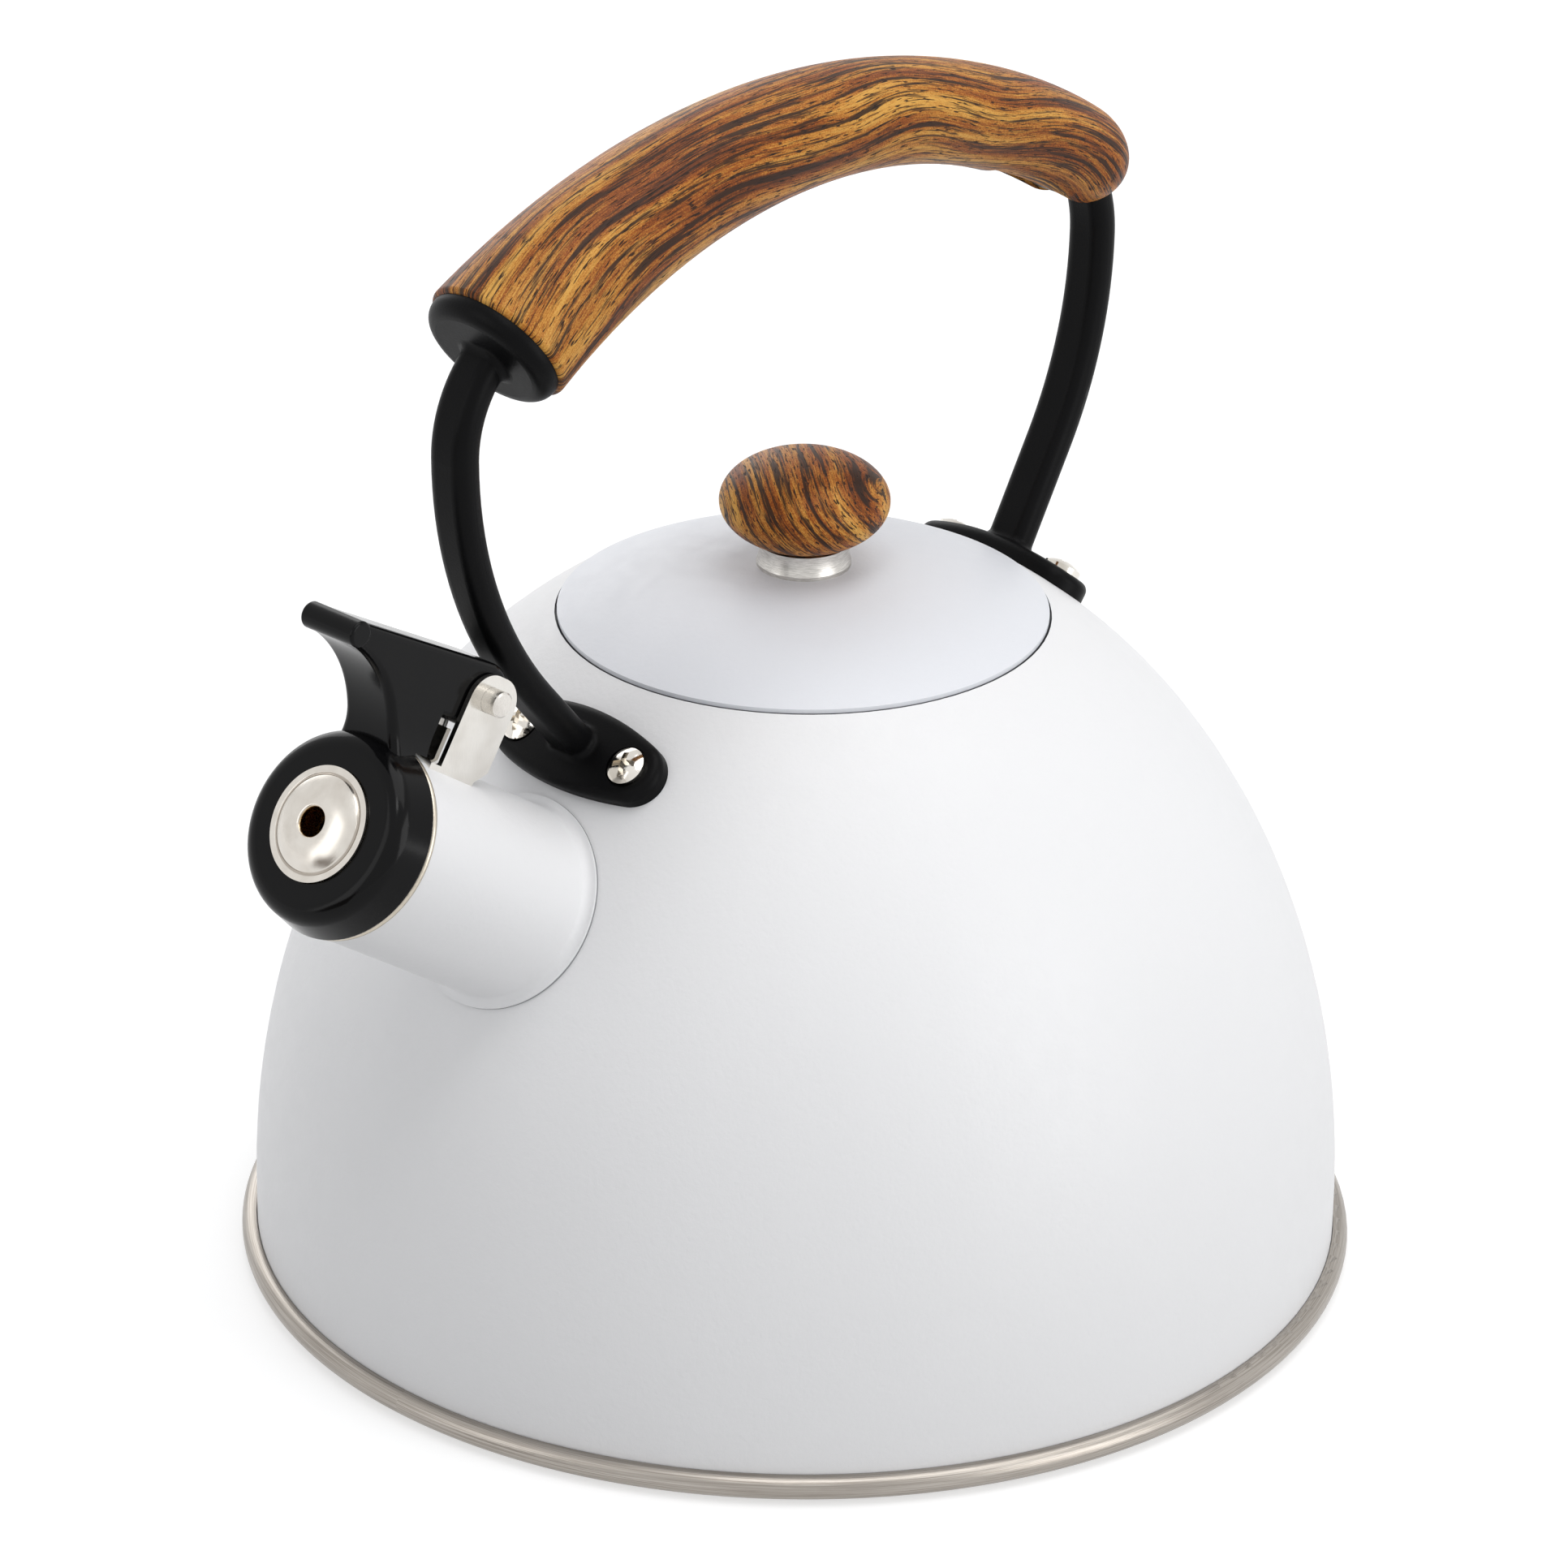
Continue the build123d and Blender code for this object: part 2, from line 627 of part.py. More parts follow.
def whistle_lever():
    lever = lever_arm() + whistle_cap()
    pin_hole = across_spout(Pos(pin_along, pin_height) * Circle(PIN_RADIUS + PIN_RUN), BEYOND)
    below = Rectangle(2 * KNUCKLE_RADIUS + POCKET_RADIUS, 2 * KNUCKLE_RADIUS, align=(Align.MAX, Align.MAX))
    pocket = Pos(pin_along, pin_height) * (Circle(POCKET_RADIUS) + Pos(POCKET_RADIUS, 0) * below)
    end, end_way = coil_point(COIL_QUARTERS)
    tip = end + end_way * (LEVER_LEG + LEG_ROOM)
    room = WIRE / 2 + LEG_ROOM
    leg_face = Pos(end.X, end.Y - room) * Rectangle(tip.X - end.X, 2 * room, align=(Align.MIN, Align.MIN))
    leg_low = Plane(side_frame.origin + side_frame.z_dir * (end.Z - room), side_frame.x_dir, side_frame.z_dir)
    leg_slot = extrude(leg_low * leg_face, tip.Z - end.Z + 2 * room)
    return lever - pin_hole - across_spout(pocket, POCKET_HALF_WIDTH) - leg_slot


def whistle_disc():
    low = cap_front
    crown = low + DISC_RISE
    shoulder = DISC_RADIUS - DISC_FLAT
    rim = WHISTLE_HOLE + DISC_SHEET
    hole_low = crown - 2 * DISC_SHEET
    outer = TangentArc((rim, crown), (shoulder, low + DISC_SHEET), tangent=(1, 0))
    inner = TangentArc((WHISTLE_HOLE, hole_low), (shoulder - DISC_SHEET, low), tangent=(1, 0))
    return along_spout(
        turned(
            Line((shoulder - DISC_SHEET, low), (DISC_RADIUS, low)),
            Line((DISC_RADIUS, low), (DISC_RADIUS, low + DISC_SHEET)),
            Line((DISC_RADIUS, low + DISC_SHEET), (shoulder, low + DISC_SHEET)),
            outer,
            TangentArc((rim, crown), (WHISTLE_HOLE, crown - DISC_SHEET), tangent=(-1, 0)),
            Line((WHISTLE_HOLE, crown - DISC_SHEET), (WHISTLE_HOLE, hole_low)),
            inner,
        )
    )


def whistle_plate():
    rim = cap_front - DISC_SHEET
    floor = rim - PLATE_CUP_DEPTH
    outside = post(DISC_RADIUS, rim, cap_front) + post(PLATE_CUP_RADIUS, floor, rim)
    inside = post(PLATE_CUP_RADIUS - DISC_SHEET, floor + DISC_SHEET, cap_front + BEYOND)
    return along_spout(outside - inside - post(PLATE_HOLE, floor - BEYOND, floor + BEYOND))


front_foot = dome_frame(FRONT_FOOT_SHARE * BODY_RADIUS, -1)
rear_foot = dome_frame(REAR_FOOT_SHARE * BODY_RADIUS, 1)


def foot_oval():
    """Outline of a handle foot, long sides across the kettle and a round end on each."""
    turn = FOOT_SIDE / 2
    edge = FOOT_END_WIDTH / 2
    side = FOOT_WIDTH / 2
    uphill = ThreePointArc((edge, -turn), (side, 0), (edge, turn))
    downhill = ThreePointArc((-edge, turn), (-side, 0), (-edge, -turn))
    near = TangentArc(uphill @ 1, downhill @ 0, tangent=uphill % 1)
    far = TangentArc(downhill @ 1, uphill @ 0, tangent=downhill % 1)
    return make_face([uphill, near, downhill, far])


def screw_places():
    return [(0, -SCREW_SPACING / 2, SCREW_SEAT), (0, SCREW_SPACING / 2, SCREW_SEAT)]


def foot_pad(frame):
    """Oval pad of even thickness on the dome, with a rounded upper edge."""
    pad = extrude(frame * foot_oval(), DOME_REACH, both=True) & dome_block(FOOT_THICK)
    pad -= dome_block()
    top = pad.faces().sort_by(lambda face: frame.to_local_coords(face.center()).Z)[-1]
    return fillet(top.edges(), FOOT_ROUND)


def strip_block(frame, grow):
    """Strip on the dome under a foot, grown on all free sides."""
    face = frame * Rectangle(STRIP_WIDTH + 2 * grow, STRIP_LENGTH + 2 * grow)
    return (extrude(face, DOME_REACH, both=True) & dome_block(STRIP_THICK + grow)) - dome_block()


def weld_strip(frame):
    strip = strip_block(frame, 0)
    for place in screw_places():
        strip -= frame * Pos(*place) * extrude(Circle(SCREW_RADIUS + FIT_GAP), DOME_REACH, both=True)
    return strip


def foot_cuts(frame):
    """What is taken out of a foot: room for the strip, screw holes and flat seats for the heads."""
    cuts = strip_block(frame, STRIP_ROOM)
    for place in screw_places():
        hole = extrude(Circle(SCREW_RADIUS + SCREW_GAP), DOME_REACH, both=True)
        spot = extrude(Circle(SCREW_HEAD_RADIUS + SPOT_ROOM), FOOT_THICK)
        cuts += frame * Pos(*place) * (hole + spot)
    return cuts


def foot_screws(frame):
    screw = pan_screw(SCREW_RADIUS, SCREW_HEAD_RADIUS, SCREW_HEAD, SCREW_LENGTH)
    screw = Rot(0, 0, SCREW_TURN) * screw
    return Compound(children=[frame * Pos(*place) * screw for place in screw_places()])


def arm_foot_point(frame, uphill):
    """Start of an arm's centreline inside its foot, as (x, z)."""
    point = frame.from_local_coords((uphill, 0, ARM_SINK))
    return Vector(point.X, point.Z)


def shoulder_point(foot, side, out, up):
    return Vector(foot.origin.X + side * out, foot.origin.Z + up)


front_shoulder = shoulder_point(front_foot, -1, FRONT_SHOULDER_OUT, FRONT_SHOULDER_UP)
rear_shoulder = shoulder_point(rear_foot, 1, REAR_SHOULDER_OUT, REAR_SHOULDER_UP)
grip_front = front_shoulder + Vector(GRIP_FRONT_IN, GRIP_FRONT_UP)
lean = math.radians(GRIP_FRONT_LEAN)
grip_centre = grip_front + Vector(math.sin(lean), -math.cos(lean)) * GRIP_RADIUS
tongue_low = GRIP_RADIUS - GRIP_REAR_HEIGHT / 2 + REAR_TONGUE_INSET
tongue_high = GRIP_RADIUS + REAR_TONGUE_TOP


def grip_point(degrees, radius=GRIP_RADIUS):
    """Point (x, z) on the grip's arc, or beside it, at degrees behind its crown."""
    angle = math.radians(degrees)
    return grip_centre + Vector(math.sin(angle), math.cos(angle)) * radius


def grip_plane(degrees):
    """Plane square to the grip's arc: X across the kettle, Y up, Z rearwards."""
    angle = math.radians(degrees)
    at = grip_point(degrees)
    return Plane((at.X, 0, at.Y), x_dir=(0, 1, 0), z_dir=(math.cos(angle), 0, -math.sin(angle)))


def grip_half_height(degrees):
    """Half the grip's height: it thins smoothly from the front end, then stays even."""
    left = max(0, (GRIP_TAPER_END - degrees) / (GRIP_TAPER_END + GRIP_FRONT_LEAN))
    return (GRIP_REAR_HEIGHT + (GRIP_FRONT_HEIGHT - GRIP_REAR_HEIGHT) * left**GRIP_TAPER_POWER) / 2


def grip_section(degrees, share):
    """Oval across the grip, drawn in to a share of its full size."""
    half = grip_half_height(degrees) * share
    return grip_plane(degrees) * Ellipse(half * GRIP_WIDENESS, half)


def arm_path(foot, bend_side, shoulder, top):
    """Line from the foot, arc tangent to it that ends upright at the shoulder, and arc into the grip."""
    centre = shoulder - Vector(bend_side * ARM_BEND, 0)
    away = foot - centre
    swing = math.degrees(math.acos(ARM_BEND / away.length))
    spoke = away.normalized().rotate(Axis.Z, bend_side * swing) * ARM_BEND
    touch = centre + spoke
    return [
        Line(foot, touch),
        TangentArc(shoulder, touch, tangent=(0, -1)),
        TangentArc(shoulder, top, tangent=(0, 1)),
    ]


def swept_arm(edges, grow=0.0):
    """Rounded bar along a path of (x, z) edges, grown on all sides."""
    wire = Plane.XZ * Wire(Wire(edges).order_edges())
    section = RectangleRounded(ARM_WIDTH + 2 * grow, ARM_DEPTH + 2 * grow, ARM_CORNER + grow)
    plane = Plane(wire @ 0, x_dir=(0, 1, 0), z_dir=wire % 0)
    return sweep(plane * section, path=wire)


def front_arm_path():
    return arm_path(arm_foot_point(front_foot, FRONT_ARM_UP), -1, front_shoulder, grip_front)


def rear_arm_path():
    top = grip_point(GRIP_REAR_END)
    return arm_path(arm_foot_point(rear_foot, REAR_ARM_UP), 1, rear_shoulder, top)


def grip_arc(start, end):
    """Stretch of the grip's arc between two places in degrees, in the middle plane."""
    middle = grip_point((start + end) / 2)
    points = [(p.X, 0, p.Y) for p in (grip_point(start), middle, grip_point(end))]
    return ThreePointArc(*points)


def front_tongue(grow=0.0):
    """Tenon of the front arm inside the grip."""
    end = -GRIP_FRONT_LEAN + math.degrees((TONGUE_LENGTH + grow) / GRIP_RADIUS)
    section = RectangleRounded(TONGUE_WIDTH + 2 * grow, TONGUE_HEIGHT + 2 * grow, TONGUE_CORNER + grow)
    return sweep(grip_plane(-GRIP_FRONT_LEAN) * section, path=grip_arc(-GRIP_FRONT_LEAN, end))


def grip_block(start, end, low, high, half_width):
    """Slab in the middle plane between two places along the grip, in degrees, and two radii of its arc."""
    middle = (start + end) / 2
    face = make_face(
        [
            ThreePointArc(grip_point(start, high), grip_point(middle, high), grip_point(end, high)),
            Line(grip_point(end, high), grip_point(end, low)),
            ThreePointArc(grip_point(end, low), grip_point(middle, low), grip_point(start, low)),
            Line(grip_point(start, low), grip_point(start, high)),
        ]
    )
    return extrude(Plane.XZ * face, half_width, both=True)


def rear_tongue():
    """Flat tenon of the rear arm, set into a slot in the underside of the grip."""
    end = GRIP_REAR_END + math.degrees(TONGUE_LAP / GRIP_RADIUS)
    return grip_block(REAR_TONGUE_START, end, tongue_low, tongue_high, ARM_WIDTH / 2)


def rear_slot():
    """Room in the grip for the rear tongue, open below, and for the arm where it turns down."""
    half = ARM_WIDTH / 2 + GRIP_GAP
    start = REAR_TONGUE_START - math.degrees(GRIP_GAP / GRIP_RADIUS)
    end = GRIP_REAR_END + math.degrees((TONGUE_LAP + GRIP_GAP) / GRIP_RADIUS)
    turn = GRIP_REAR_END + math.degrees(SLOT_REACH / GRIP_RADIUS)
    below = tongue_low - BEYOND / 2
    slot = grip_block(start, end, below, tongue_high + GRIP_GAP, half)
    return slot + grip_block(start, turn, below, GRIP_RADIUS - ARM_DEPTH / 2, half)


def grip_screw_frame():
    """Seat of the grip's screw in the rear tongue: Z points down out of the grip."""
    at = grip_point(GRIP_SCREW_PLACE, tongue_low + GRIP_SCREW_HEAD)
    down = grip_centre - at
    return Plane((at.X, 0, at.Y), x_dir=(0, 1, 0), z_dir=(down.X, 0, down.Y))


def front_arm():
    arm = filleted_joint(foot_pad(front_foot), swept_arm(front_arm_path()), ARM_FILLET)
    front = grip_half_height(-GRIP_FRONT_LEAN) - PLUG_INSET
    oval = Ellipse(front * GRIP_WIDENESS, front)
    plug = extrude(grip_plane(-GRIP_FRONT_LEAN) * oval, -PLUG_THICK)
    plug = fillet(plug.edges().sort_by(Axis.X)[0], PLUG_ROUND)
    arm = filleted_joint(arm, plug + front_tongue(), PLUG_FILLET)
    return arm - foot_cuts(front_foot)


def rear_arm():
    arm = filleted_joint(foot_pad(rear_foot), swept_arm(rear_arm_path()), ARM_FILLET) + rear_tongue()
    frame = grip_screw_frame()
    hole = extrude(Circle(GRIP_SCREW_RADIUS + SCREW_GAP), BEYOND, both=True)
    head_room = extrude(Circle(GRIP_SCREW_HEAD_RADIUS + SCREW_GAP), BEYOND / 2)
    return arm - foot_cuts(rear_foot) - frame * (hole + head_room)


def grip():
    reach = GRIP_REAR_END + GRIP_FRONT_LEAN
    body = []
    for k in range(GRIP_STATIONS + 1):
        degrees = -GRIP_FRONT_LEAN + reach * k / GRIP_STATIONS
        body.append(grip_section(degrees, 1))
    nose = []
    for k in range(GRIP_STATIONS):
        turn = math.radians(90 * k / GRIP_STATIONS)
        degrees = GRIP_REAR_END + math.degrees(GRIP_NOSE / GRIP_RADIUS) * math.sin(turn)
        nose.append(grip_section(degrees, math.cos(turn)))
    front = loft(body)
    front = fillet(front.faces().sort_by(Axis.X)[0].edges(), GRIP_EDGE_ROUND)
    wood = front + loft(nose)
    wood -= front_tongue(GRIP_GAP)
    wood -= rear_slot()
    wood -= swept_arm(rear_arm_path(), GRIP_GAP)
    screw_hole = extrude(Circle(GRIP_SCREW_RADIUS + FIT_GAP), -GRIP_SCREW_LENGTH - GRIP_SCREW_ROOM)
    return wood - grip_screw_frame() * screw_hole


def grip_screw():
    screw = pan_screw(GRIP_SCREW_RADIUS, GRIP_SCREW_HEAD_RADIUS, GRIP_SCREW_HEAD, GRIP_SCREW_LENGTH)
    return grip_screw_frame() * screw


pieces = {
    "body_shell": body_shell(),
    "base_pan": base_pan(),
    "heat_disc": heat_disc(),
    "base_cap": base_cap(),
    "lid_shell": lid_shell(),
    "lid_skirt": lid_skirt(),
    "knob_collar": knob_collar(),
    "lid_knob": lid_knob(),
    "knob_insert": knob_insert(),
    "knob_washer": knob_washer(),
    "knob_screw": knob_screw(),
    "spout_tube": spout_tube(),
    "hinge_bracket": hinge_bracket(),
    "hinge_pin": hinge_pin(),
    "return_spring": return_spring(),
    "whistle_lever": whistle_lever(),
    "whistle_disc": whistle_disc(),
    "whistle_plate": whistle_plate(),
    "front_weld_strip": weld_strip(front_foot),
    "rear_weld_strip": weld_strip(rear_foot),
    "front_foot_screws": foot_screws(front_foot),
    "rear_foot_screws": foot_screws(rear_foot),
    "front_arm": front_arm(),
    "rear_arm": rear_arm(),
    "grip": grip(),
    "grip_screw": grip_screw(),
}

os.makedirs("parts", exist_ok=True)
for name, piece in pieces.items():
    export_step(piece, f"parts/{name}.step")
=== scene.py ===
import math
from functools import cached_property

import bpy
from mathutils import Matrix, Vector

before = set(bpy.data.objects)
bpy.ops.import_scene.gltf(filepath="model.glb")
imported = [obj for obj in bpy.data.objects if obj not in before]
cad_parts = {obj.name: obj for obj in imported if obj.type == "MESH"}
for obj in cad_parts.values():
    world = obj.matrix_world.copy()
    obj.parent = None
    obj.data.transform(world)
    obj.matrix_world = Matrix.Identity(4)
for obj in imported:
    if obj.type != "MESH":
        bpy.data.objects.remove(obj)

# Stovetop whistling kettle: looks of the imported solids, in metres, Z up, spout towards -X

# Camera: a long lens from beside the spout, rolled a little, with lens in millimetres and roll in degrees
CAMERA_PLACE = (-0.8865, -0.8267, 0.6671)
CAMERA_AIM = (-0.0022, 0.0023, 0.0943)
CAMERA_LENS = 162.42
CAMERA_ROLL = 0.725
SENSOR_WIDTH = 36

# Places that materials are laid out from
DOME_RADIUS = 0.1045
DOME_RISE = 0.131
DOME_FOOT = 0.013
SHEET = 0.0008
MOUTH_LEDGE = 0.129
MOUTH_EDGE = 0.13025
MOUTH_RADIUS = 0.0466
LID_RADIUS = 0.04615
SPOUT_ORIGIN = (-0.0796, 0, 0.09788)
SPOUT_LEAN = math.radians(34.157)
SPOUT_AXIS = (-math.cos(SPOUT_LEAN), 0, math.sin(SPOUT_LEAN))
SPOUT_UP = (math.sin(SPOUT_LEAN), 0, math.cos(SPOUT_LEAN))
SPOUT_BORE = 0.0174
SPOUT_LENGTH = 0.0452
SPOUT_LIP = 0.0013
FLANGE_RADIUS = 0.0201
GRIP_CENTRE = (-0.00646, 0, 0.08367)
GRIP_ARC = 0.143
GRIP_GIRTH = 0.0125
DISC_GROOVE = 0.0092
DISC_HOLE = 0.0027
KNOB_CENTRE = (0, 0, 0.1528)
KNOB_RADIUS = 0.016
KNOB_FLATNESS = 1.75
KNOB_ACROSS = (0.65, -0.62, 0.43)

# Soft edges of what is painted, as distances, or at the spout's root as levels of the dome
RIM_START = 0.0002
RIM_FULL = 0.00005
RIM_SHADE_EDGE = 0.0001
ROOT_LEVELS = (1.002, 1.0045)
GROOVE_EDGES = (0.0001, 0.0004)
HOLE_EDGE = 0.0004

# How fine lines are drawn out: metres of noise for a radian of turn, and shares along X, Y and Z
BRUSH_STRETCH = 0.0007
RING_STRETCH = 0.0006
SCRATCH_STRETCH = (1, 0.35, 0.12)

# Display colours of coats, bare metal, painted shade in the seams and the reflected flag, from 0 to 255
COAT_WHITE = (236, 236, 237)
LID_WHITE = (228, 230, 235)
BARE_STEEL = (208, 207, 205)
SPOUT_STEEL = (178, 170, 156)
# Painted shade for the gap round the lid and for the spout's root
GAP_SHADE_GREY = (88, 89, 94)
FLAG_BROWN = (92, 78, 64)

# Stage: the floor glows more where the lamps no longer reach, and the flag only shows in reflections
FLOOR_SPAN = (-3.0, 3.0)
FLOOR_DROP = 0.0002
FLOOR_GREY = (0.54, 0.54, 0.54, 1)
FLOOR_FADE = (0.5, 2.6)
FLOOR_GLOW = (0.57, 1.0)
FLAG_PLACE = -0.9
FLAG_WIDTH = (-0.1, 0.3)
FLAG_HEIGHT = (0.0, 0.22)
WORLD_LIGHT = (0.49, 0.495, 0.505, 1)
WHITE = (1, 1, 1, 1)

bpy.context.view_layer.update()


def colour(red, green, blue, shift=0):
    """Linear colour from 0 to 255 display values, all moved by the shift."""
    def linear(value):
        share = (value + shift) / 255
        return share / 12.92 if share <= 0.04045 else ((share + 0.055) / 1.055) ** 2.4
    return (linear(red), linear(green), linear(blue), 1)


class Paint:
    """Nodes of a material or world under construction. Most methods return an output socket."""

    def __init__(self, name, store=bpy.data.materials):
        self.owner = store.new(name)
        self.owner.use_nodes = True
        self.tree = self.owner.node_tree
        self.tree.nodes.clear()

    @cached_property
    def place(self):
        """Place on the piece, in the frame that all pieces share."""
        return self.node("ShaderNodeTexCoord").outputs["Object"]

    def node(self, kind, **inputs):
        node = self.tree.nodes.new(kind)
        for name, value in inputs.items():
            self.put(node.inputs[name.replace("_", " ")], value)
        return node

    def put(self, socket, value):
        if isinstance(value, bpy.types.NodeSocket):
            self.tree.links.new(value, socket)
        else:
            socket.default_value = value

    def put_all(self, node, values):
        for socket, value in zip(node.inputs, values):
            self.put(socket, value)
        return node.outputs

    def calc(self, operation, *values):
        node = self.tree.nodes.new("ShaderNodeMath")
        node.operation = operation
        return self.put_all(node, values)[0]

    def vector(self, operation, *values):
        node = self.tree.nodes.new("ShaderNodeVectorMath")
        node.operation = operation
        return self.put_all(node, values)["Value" if operation in ("DOT_PRODUCT", "LENGTH") else "Vector"]

    def parts(self, vector):
        node = self.node("ShaderNodeSeparateXYZ", Vector=vector)
        return node.outputs[0], node.outputs[1], node.outputs[2]

    def joined(self, x, y, z):
        return self.node("ShaderNodeCombineXYZ", X=x, Y=y, Z=z).outputs[0]

    def noise(self, place, scale, detail=3.0, roughness=0.5):
        return self.node(
            "ShaderNodeTexNoise", Vector=place, Scale=scale, Detail=detail, Roughness=roughness
        ).outputs[0]

    def ramp(self, value, *stops):
        """Colour by value, from (position, colour) stops."""
        node = self.node("ShaderNodeValToRGB", Fac=value)
        elements = node.color_ramp.elements
        while len(elements) < len(stops):
            elements.new(0.5)
        for element, (position, shade) in zip(elements, stops):
            element.position = position
            element.color = shade
        return node.outputs[0]

    def step(self, value, low, high, start=0.0, end=1.0):
        """Value smoothly taken from start at low to end at high."""
        node = self.tree.nodes.new("ShaderNodeMapRange")
        node.interpolation_type = "SMOOTHSTEP"
        return self.put_all(node, (value, low, high, start, end))[0]

    def mix(self, share, first, second):
        node = self.tree.nodes.new("ShaderNodeMix")
        node.data_type = "RGBA"
        self.put(node.inputs["Factor"], share)
        self.put(node.inputs[6], first)
        self.put(node.inputs[7], second)
        return node.outputs[2]

    def length(self, first, second):
        squares = self.calc("MULTIPLY_ADD", first, first, self.calc("MULTIPLY", second, second))
        return self.calc("SQRT", squares)

    def raised(self, value, gain, base):
        """Base plus gain times the value."""
        return self.calc("MULTIPLY_ADD", value, gain, base)

    def off_middle(self, value, gain, base):
        """Base plus gain times the value's distance from a half."""
        return self.raised(self.calc("SUBTRACT", value, 0.5), gain, base)

    def bump(self, height, depth):
        return self.node("ShaderNodeBump", Height=height, Distance=depth).outputs[0]

    def seen(self):
        """1 for what the camera sees, also in reflections and through clear things."""
        path = self.node("ShaderNodeLightPath")
        direct = self.calc("MAXIMUM", path.outputs["Is Camera Ray"], path.outputs["Is Glossy Ray"])
        return self.calc("MAXIMUM", direct, path.outputs["Is Transmission Ray"])

    def output(self, shader, kind="ShaderNodeOutputMaterial"):
        self.node(kind, Surface=shader.outputs[0])
        return self.owner

    def surface(self, **inputs):
        return self.output(self.node("ShaderNodeBsdfPrincipled", **inputs))


def around_axis(paint):
    """Radius from the kettle's axis, height, and angle about the axis."""
    x, y, z = paint.parts(paint.place)
    return paint.length(x, y), z, paint.calc("ARCTAN2", y, x)


def around_spout(paint):
    """Distance along the spout from its root, radius from its axis, and angle about the axis."""
    reach = paint.vector("SUBTRACT", paint.place, SPOUT_ORIGIN)
    along = paint.vector("DOT_PRODUCT", reach, SPOUT_AXIS)
    up = paint.vector("DOT_PRODUCT", reach, SPOUT_UP)
    across = paint.parts(reach)[1]
    return along, paint.length(up, across), paint.calc("ARCTAN2", across, up)


def dome_level(paint, inset):
    """1 on the dome's outside moved in by the inset, less inside it and more outside it."""
    radius, height, _ = around_axis(paint)
    rise = paint.calc("MAXIMUM", paint.calc("SUBTRACT", height, DOME_FOOT), 0)
    return paint.length(
        paint.calc("DIVIDE", radius, DOME_RADIUS - inset), paint.calc("DIVIDE", rise, DOME_RISE - inset)
    )


# White powder coat, with bare steel, and painted shade darkening the seams, where masks say so

def coat(name, tint, bare=None, shade_mask=None, steel=BARE_STEEL):
    paint = Paint(name)
    drift = paint.noise(paint.place, scale=22, detail=2)
    speck = paint.noise(paint.place, scale=5200, detail=2, roughness=0.6)
    peel = paint.noise(paint.place, scale=900)
    patch = paint.noise(paint.place, scale=320)
    shade = paint.mix(drift, colour(*tint), colour(*tint, shift=-3))
    specked = paint.step(speck, low=0.62, high=0.8, end=0.35)
    shade = paint.mix(specked, shade, colour(*tint, shift=-22))
    rough = paint.step(patch, low=0.3, high=0.7, start=0.42, end=0.52)
    metal = 0.0
    if bare:
        metal = bare(paint)
        streak = paint.noise(paint.place, scale=1400, detail=4)
        worn = paint.mix(streak, colour(*steel), colour(*steel, shift=24))
        shade = paint.mix(metal, shade, worn)
        rough = paint.raised(metal, gain=-0.14, base=rough)
    # Painted shade: the mask darkens the coat where shade falls in a seam
    if shade_mask:
        shade = paint.mix(shade_mask(paint), shade, colour(*GAP_SHADE_GREY))
    relief = paint.bump(paint.raised(speck, gain=0.25, base=peel), depth=0.00006)
    return paint.surface(Base_Color=shade, Metallic=metal, Roughness=rough, Normal=relief)


def body_inside(paint):
    """1 on the inside of the dome, 0 on its outside and on the lid's ledge."""
    inside = paint.calc("LESS_THAN", dome_level(paint, SHEET / 2), 1)
    _, height, _ = around_axis(paint)
    return paint.calc("MULTIPLY", inside, paint.calc("LESS_THAN", height, MOUTH_LEDGE))


def mouth_gap_shade(paint):
    """1 in the narrow gap round the lid, where painted shade darkens the mouth's wall."""
    radius, _, _ = around_axis(paint)
    gap = paint.calc("COMPARE", radius, (MOUTH_RADIUS + LID_RADIUS) / 2, MOUTH_RADIUS - LID_RADIUS)
    return paint.calc("MULTIPLY", gap, paint.calc("LESS_THAN", dome_level(paint, SHEET / 4), 1))


def lid_rim_shade(paint):
    """1 on the outside of the lid's turned-down rim, below the mouth's edge, where the gap's shade is
    painted.
    """
    radius, height, _ = around_axis(paint)
    rim = paint.step(radius, LID_RADIUS - RIM_START, LID_RADIUS - RIM_FULL)
    below = paint.step(height, MOUTH_EDGE - RIM_SHADE_EDGE, MOUTH_EDGE + RIM_SHADE_EDGE, start=1, end=0)
    return paint.calc("MULTIPLY", rim, below)


def spout_bare(paint):
    """1 inside the spout and on its lip."""
    along, radius, _ = around_spout(paint)
    inside = paint.calc("LESS_THAN", radius, SPOUT_BORE + SHEET / 2)
    return paint.calc("MAXIMUM", inside, paint.calc("GREATER_THAN", along, SPOUT_LENGTH - SPOUT_LIP))


def spout_root_shade(paint):
    """Painted shade, strongest at the foot of the flange's rim, on the dome, and fading upward."""
    _, radius, _ = around_spout(paint)
    low = paint.step(dome_level(paint, 0), *ROOT_LEVELS, start=0.8, end=0)
    return paint.calc("MULTIPLY", low, paint.calc("GREATER_THAN", radius, FLANGE_RADIUS))


# Stainless steel brushed round the kettle's axis

def brushed(name, dark, light):
    paint = Paint(name)
    radius, height, angle = around_axis(paint)
    lines = paint.joined(radius, height, paint.calc("MULTIPLY", angle, BRUSH_STRETCH))
    fine = paint.noise(lines, scale=6500, roughness=0.65)
    broad = paint.noise(lines, scale=1200, detail=2)
    shade = paint.mix(paint.step(fine, low=0.25, high=0.75), colour(*dark), colour(*light))
    rough = paint.raised(broad, gain=0.14, base=0.24)
    relief = paint.bump(fine, depth=0.00003)
    return paint.surface(Base_Color=shade, Metallic=1.0, Roughness=rough, Normal=relief)


# Bright plate or plain metal with faint scratches, duller where it is given a higher roughness

